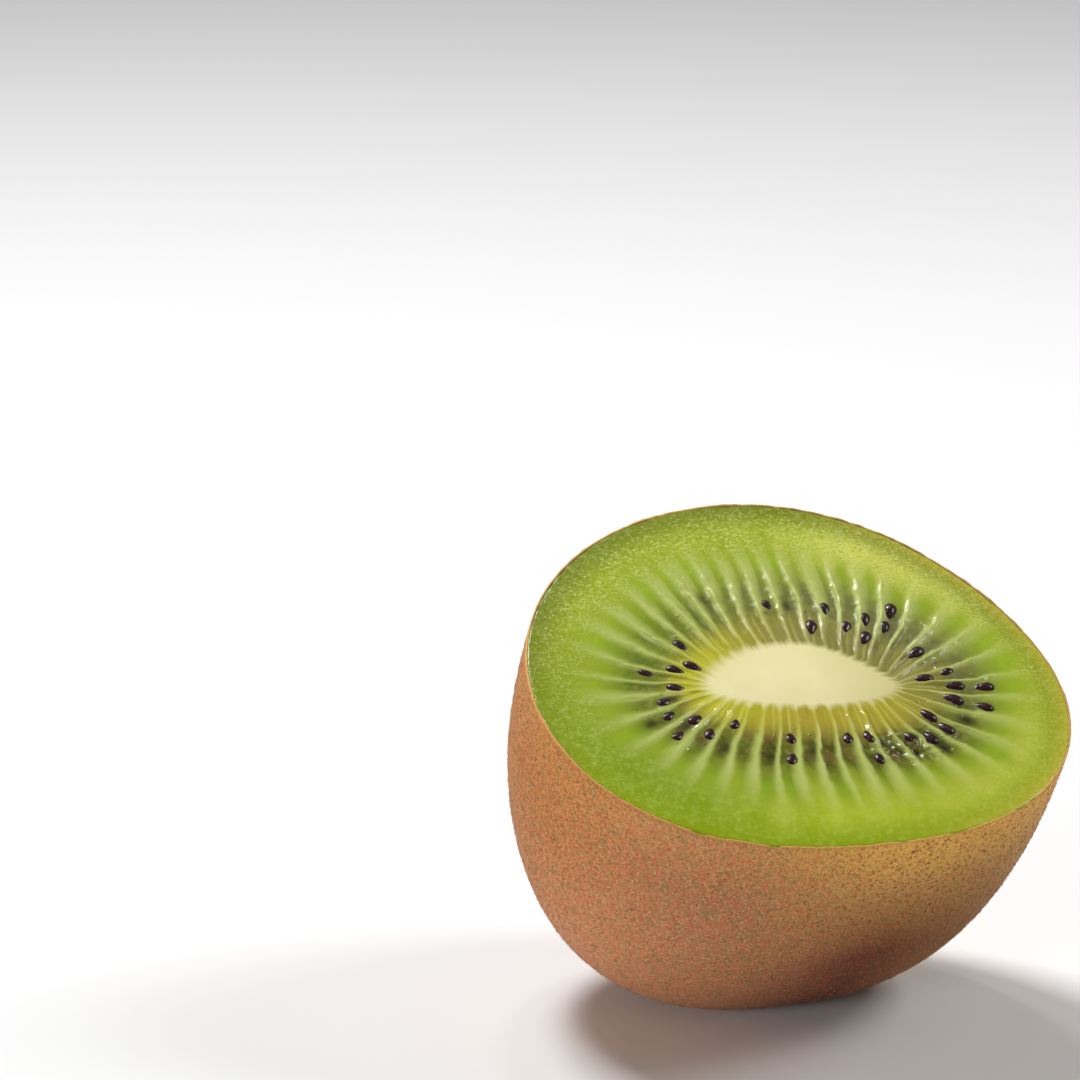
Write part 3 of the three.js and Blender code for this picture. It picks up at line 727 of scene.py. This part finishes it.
fibrous = add(tree, "MapRange", {"Value": fibres, "To Min": 0.5})
wall_mix = add(tree, "Math", {0: mark["wall"], 1: fibrous}, operation="MULTIPLY")
inner = add(tree, "Mix", {0: wall_mix, 6: inner, 7: wall_colour}, out=2, data_type="RGBA")
# Painted highlight: a bright line along the steep edge of the walls.
inner = add(tree, "Mix", {0: mark["painted_crest_highlight"], 6: inner, 7: paint("#DCE0AC")}, out=2, data_type="RGBA")
inner = add(tree, "Mix", {0: mark["shadow"], 6: inner, 7: paint("#2A240E")}, out=2, data_type="RGBA")
outside = add(tree, "MapRange",
              {"Value": mark["reach"], "From Min": 0.75, "From Max": 1.35},
              interpolation_type="SMOOTHSTEP")
outside = add(tree, "Math", {0: outside, 1: mark["pulp"]}, operation="SUBTRACT", use_clamp=True)
cut = add(tree, "Mix", {0: outside, 6: inner, 7: flesh_colour}, out=2, data_type="RGBA")
cream = add(tree, "Mix", {0: clouds, 6: paint("#D4CB90"), 7: paint("#E4DCAE")}, out=2, data_type="RGBA")
spot_across = add(tree, "SeparateXYZ", {0: spot})
core_right = add(tree, "MapRange", {"Value": spot_across, "From Min": 2.0, "From Max": 11.0, "To Max": 0.7})
cream = add(tree, "Mix", {0: core_right, 6: cream, 7: paint("#B9B06C")}, out=2, data_type="RGBA")
core_mix = add(tree, "Math", {0: fibres, 1: 0.6, 2: mark["core"]}, operation="MULTIPLY_ADD")
core_mix = add(tree, "MapRange", {"Value": core_mix, "From Min": 0.42, "From Max": 1.15})
cut = add(tree, "Mix", {0: core_mix, 6: cut, 7: cream}, out=2, data_type="RGBA")
tree.links.new(cut, surface.inputs["Base Color"])

# Juice stands on the cut as beads too fine to show singly, and gathers in larger drops in the chambers.
droplets = add(tree, "TexNoise", {"Vector": place, "Scale": 1 / 0.0004, "Detail": 2.0, "Roughness": 0.6})
beads = add(tree, "MapRange", {"Value": droplets, "From Min": 0.54, "From Max": 0.75})
beads = add(tree, "Math", {0: beads, 1: by_side}, operation="MULTIPLY")
beads = add(tree, "Math", {0: beads, 1: pale_flecks_and_glints}, operation="ADD")
wobble = add(tree, "TexNoise", {"Vector": spot, "Scale": 2.0}, out=1)
wobbled = add(tree, "VectorMath", {0: wobble, 1: (0.3, 0.3, 0.0), 2: spot}, operation="MULTIPLY_ADD")
drips = add(tree, "TexVoronoi", {"Vector": wobbled, "Scale": 0.75})
drips = add(tree, "MapRange",
            {"Value": drips, "From Min": 0.17, "From Max": 0.02},
            interpolation_type="SMOOTHSTEP")
inside = add(tree, "MapRange", {"Value": mark["reach"], "From Min": 0.85, "From Max": 0.7})
off_core = add(tree, "MapRange", {"Value": mark["reach"], "From Min": 0.1, "From Max": 0.3})
inside = add(tree, "Math", {0: inside, 1: off_core}, operation="MULTIPLY")
drips = add(tree, "Math", {0: drips, 1: inside}, operation="MULTIPLY")
not_core = add(tree, "MapRange", {"Value": mark["core"], "To Min": 1.0, "To Max": 0.0})
beads = add(tree, "Math", {0: beads, 1: not_core}, operation="MULTIPLY")
wet = add(tree, "Bump", {"Height": beads, "Strength": 0.5, "Distance": 0.00006})
wet = add(tree, "Bump", {"Height": drips, "Strength": 1.0, "Distance": 0.00014, "Normal": wet})
tree.links.new(wet, surface.inputs["Normal"])
tree.links.new(wet, surface.inputs["Coat Normal"])
surface.inputs["Specular IOR Level"].default_value = 0.12
surface.inputs["Roughness"].default_value = 0.4
surface.inputs["IOR"].default_value = 1.36
surface.inputs["Subsurface Weight"].default_value = 0.25
surface.inputs["Subsurface Radius"].default_value = (1.0, 1.0, 0.35)
surface.inputs["Subsurface Scale"].default_value = 0.0006
surface.inputs["Coat Weight"].default_value = 0.6
surface.inputs["Coat Roughness"].default_value = 0.06
surface.inputs["Coat IOR"].default_value = 1.34
flesh.data.materials.append(kiwi_flesh)
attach(flesh, "root")
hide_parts("outer_flesh", "inner_flesh", "core")


# Seeds
# Hard little drops, flattened, shining black with a purple brown cast. Each lies in its chamber with its
# point towards the core, half sunk in the pulp.
SEED_LENGTH = 2.15
SEED_WIDTH = 1.25
SEED_THICKNESS = 0.9
SEED_SINK = 0.12
SEED_TAPER = 0.3
SEED_DENTS = 0.12

bm = bmesh.new()
for chamber, distance, turn, size in seed_places():
    foot, end = ray(np.array(chamber))
    heading = math.atan2(*(end - foot)[::-1]) + turn
    at = on_ray(np.array(chamber), np.array(distance))
    made = bmesh.ops.create_uvsphere(bm, u_segments=18, v_segments=12, radius=0.5)["verts"]
    bmesh.ops.rotate(bm, verts=made, cent=(0, 0, 0), matrix=Matrix.Rotation(math.pi / 2, 3, "Y"))
    for vertex in made:
        girth = 1 + SEED_TAPER * 2 * vertex.co.x
        dent = 1 + SEED_DENTS * noise.noise(vertex.co * 5 + Vector((at[0], at[1], 0)))
        vertex.co.y *= girth * dent
        vertex.co.z *= girth * dent
    bmesh.ops.scale(bm, verts=made, vec=(SEED_LENGTH * size, SEED_WIDTH * size, SEED_THICKNESS * size))
    bmesh.ops.rotate(bm, verts=made, cent=(0, 0, 0), matrix=Matrix.Rotation(heading, 3, "Z"))
    sink = SEED_SINK + HOLLOW / 2 * math.sin(math.pi * min(distance / CHAMBER_LENGTH, 1))
    bmesh.ops.translate(bm, verts=made, vec=(at[0], at[1], -sink))
bmesh.ops.transform(bm, matrix=lay_down, verts=bm.verts)
seeds_mesh = bpy.data.meshes.new("seeds")
bm.to_mesh(seeds_mesh)
bm.free()
seeds_mesh.shade_smooth()
seeds = bpy.data.objects.new("seeds", seeds_mesh)
bpy.context.collection.objects.link(seeds)

# Seed coat: smooth hard shell, wet with juice, so it mirrors the lights in small glints.
seed_coat, tree, surface = new_finish("seed_coat")
place = add(tree, "TexCoord", {}, out="Object")
blotches = add(tree, "TexNoise", {"Vector": place, "Scale": 1 / 0.0012, "Detail": 2.0})
shade = add(tree, "Mix", {0: blotches, 6: paint("#0E0409"), 7: paint("#3A1A20")}, out=2, data_type="RGBA")
tree.links.new(shade, surface.inputs["Base Color"])
pits = add(tree, "TexVoronoi", {"Vector": place, "Scale": 1 / 0.00022})
dimples = add(tree, "Bump", {"Height": pits, "Strength": 0.7, "Distance": 0.00008})
tree.links.new(dimples, surface.inputs["Normal"])
surface.inputs["Roughness"].default_value = 0.35
surface.inputs["Specular IOR Level"].default_value = 0.08
surface.inputs["Coat Weight"].default_value = 0.35
surface.inputs["Coat Roughness"].default_value = 0.05
seeds_mesh.materials.append(seed_coat)
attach(seeds, "root")


# Table, light and camera
# A plain pale table. The main light stands high behind the fruit, with a small one beside it for the glints
# of the wet cut. Two broad ones light the skin, low from the left and from the right. The camera looks from
# low down in front, through a long lens.
TABLE_SIDE = 3
LIGHT_DISTANCE = 0.7
LIGHT_ALL_ROUND = 0.11
CAMERA_AZIMUTH = math.radians(-22.23)
CAMERA_ELEVATION = math.radians(14.416)
CAMERA_DISTANCE = 0.6
PHOTO_SIDE = 1080
PIXELS_PER_METRE = 10300
SENSOR_WIDTH = 36
CUT_CENTRE_PIXEL = (790.8, 669.4)

bpy.ops.mesh.primitive_plane_add(size=TABLE_SIDE, location=(0, 0, 0))
table = bpy.context.object
table.name = "table"
white_table, tree, surface = new_finish("white_table")
surface.inputs["Base Color"].default_value = paint("#E6E6E6")
surface.inputs["Roughness"].default_value = 0.6
table.data.materials.append(white_table)


def soft_light(name, degrees_round, degrees_up, side, power):
    """A square white light aimed at the cut. Degrees round are counted from the front towards the right."""
    data = bpy.data.lights.new(name, "AREA")
    data.size = side
    data.energy = power
    light = bpy.data.objects.new(name, data)
    azimuth = math.radians(degrees_round)
    elevation = math.radians(degrees_up)
    way = Vector((
        math.sin(azimuth) * math.cos(elevation),
        -math.cos(azimuth) * math.cos(elevation),
        math.sin(elevation),
    ))
    light.location = cut_centre + way * LIGHT_DISTANCE
    light.rotation_euler = way.to_track_quat("Z", "Y").to_euler()
    bpy.context.collection.objects.link(light)


soft_light("key", -165, 60, side=0.2, power=4.7)
soft_light("sparkle", 160, 61, side=0.06, power=0.45)
soft_light("fill", -60, 4, side=0.35, power=3.8)
soft_light("right", 78, 40, side=0.25, power=2.2)
world = bpy.data.worlds.new("studio")
bpy.context.scene.world = world
world.use_nodes = True
world.node_tree.nodes["Background"].inputs["Color"].default_value = (1, 1, 1, 1)
world.node_tree.nodes["Background"].inputs["Strength"].default_value = LIGHT_ALL_ROUND
bpy.context.scene.view_settings.view_transform = "Standard"

look = Vector((
    -math.sin(CAMERA_AZIMUTH) * math.cos(CAMERA_ELEVATION),
    math.cos(CAMERA_AZIMUTH) * math.cos(CAMERA_ELEVATION),
    -math.sin(CAMERA_ELEVATION),
))
sideways = look.cross(Vector((0, 0, 1))).normalized()
upwards = sideways.cross(look)
camera_data = bpy.data.cameras.new("camera")
camera_data.sensor_width = SENSOR_WIDTH
camera_data.lens = SENSOR_WIDTH * PIXELS_PER_METRE * CAMERA_DISTANCE / PHOTO_SIDE
camera = bpy.data.objects.new("camera", camera_data)
across = (CUT_CENTRE_PIXEL[0] - PHOTO_SIDE / 2) / PIXELS_PER_METRE
down = (CUT_CENTRE_PIXEL[1] - PHOTO_SIDE / 2) / PIXELS_PER_METRE
camera.location = cut_centre - look * CAMERA_DISTANCE - sideways * across + upwards * down
camera.rotation_euler = look.to_track_quat("-Z", "Y").to_euler()
bpy.context.collection.objects.link(camera)
bpy.context.scene.camera = camera
